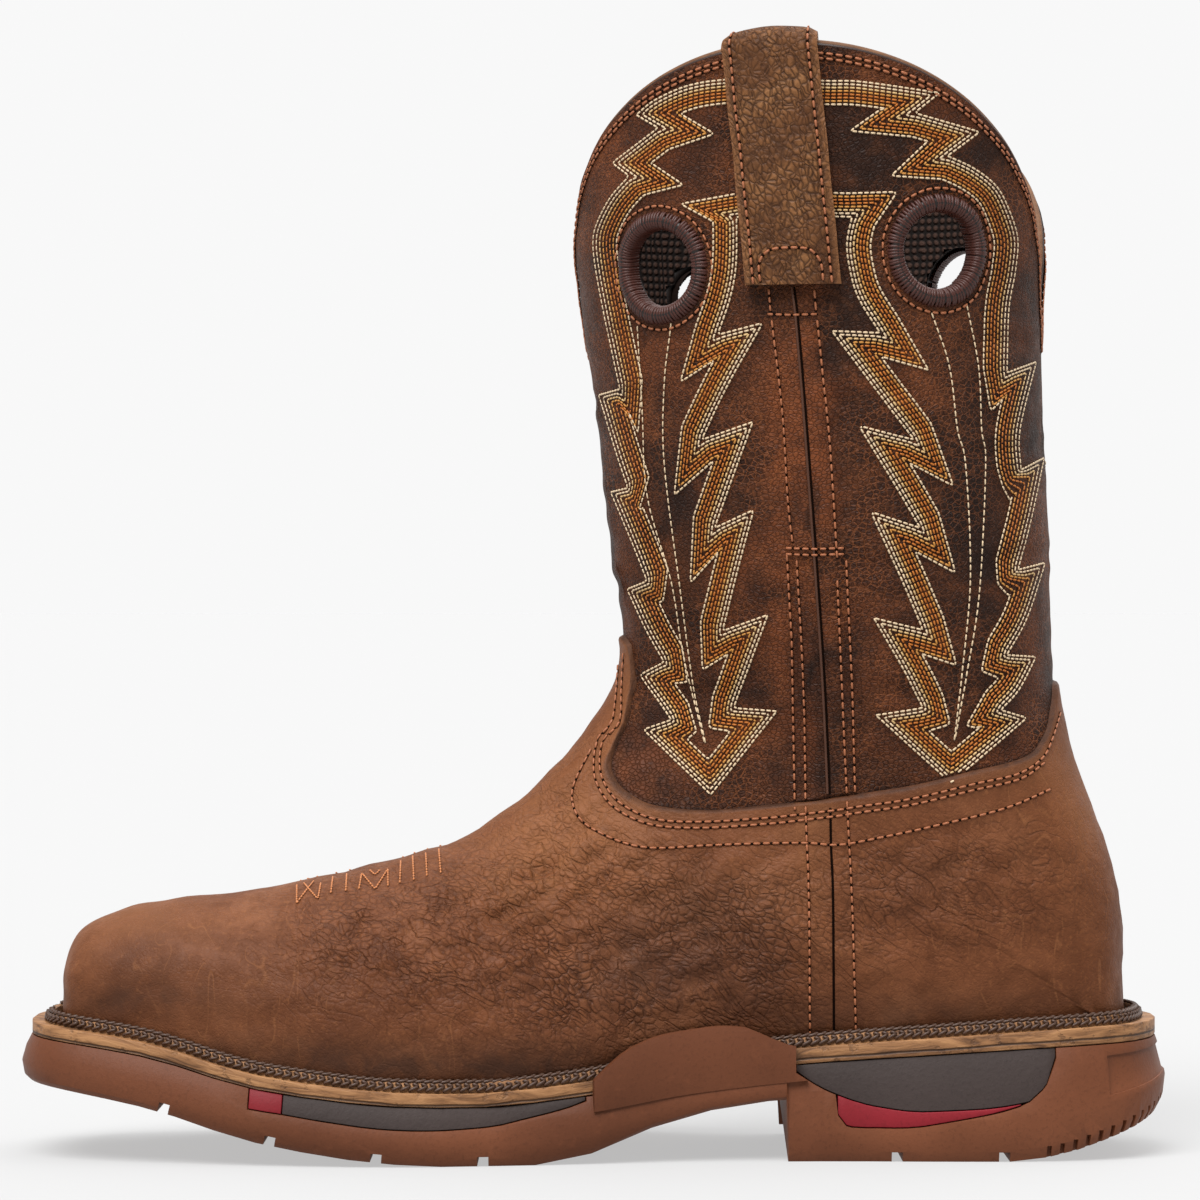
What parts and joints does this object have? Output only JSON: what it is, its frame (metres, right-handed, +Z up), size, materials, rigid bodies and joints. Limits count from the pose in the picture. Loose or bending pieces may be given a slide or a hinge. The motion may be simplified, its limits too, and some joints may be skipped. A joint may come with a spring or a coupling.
{
  "type": "western work boot",
  "caption": "Hollow pull-on western work boot for the right foot: tall shaft with dipped collar, finger holes and pull straps, square toe, stitched welt, gum rubber sole with a heel.",
  "frame": {"origin": "on the floor, at the middle of the heel's flat tread, where mount heel_rest lies", "axes": "+X from the toe to the heel, +Y from the medial side (big toe side) to the lateral side, +Z up from the floor"},
  "size_m": [0.315, 0.123, 0.3062],
  "materials": {
    "foot_leather": "oiled, wrinkled",
    "strap_leather": "coarse pebble",
    "welt_leather": "burnished edge",
    "gum_rubber": "matte",
    "grey_insert": "matte",
    "red_accent": "satin",
    "insole_foam": "knitted cover"
  },
  "bodies": {
    "root": {"forefoot_accent_lateral": "red_accent", "forefoot_accent_medial": "red_accent", "forefoot_insert_lateral": "grey_insert", "forefoot_insert_medial": "grey_insert", "heel_accent_lateral": "red_accent", "heel_accent_medial": "red_accent", "heel_insert_lateral": "grey_insert", "heel_insert_medial": "grey_insert", "insole": "insole_foam", "outsole": "gum_rubber", "pull_strap_lateral": "strap_leather", "pull_strap_medial": "strap_leather", "upper": "foot_leather", "welt": "welt_leather"}
  },
  "joints": []
}
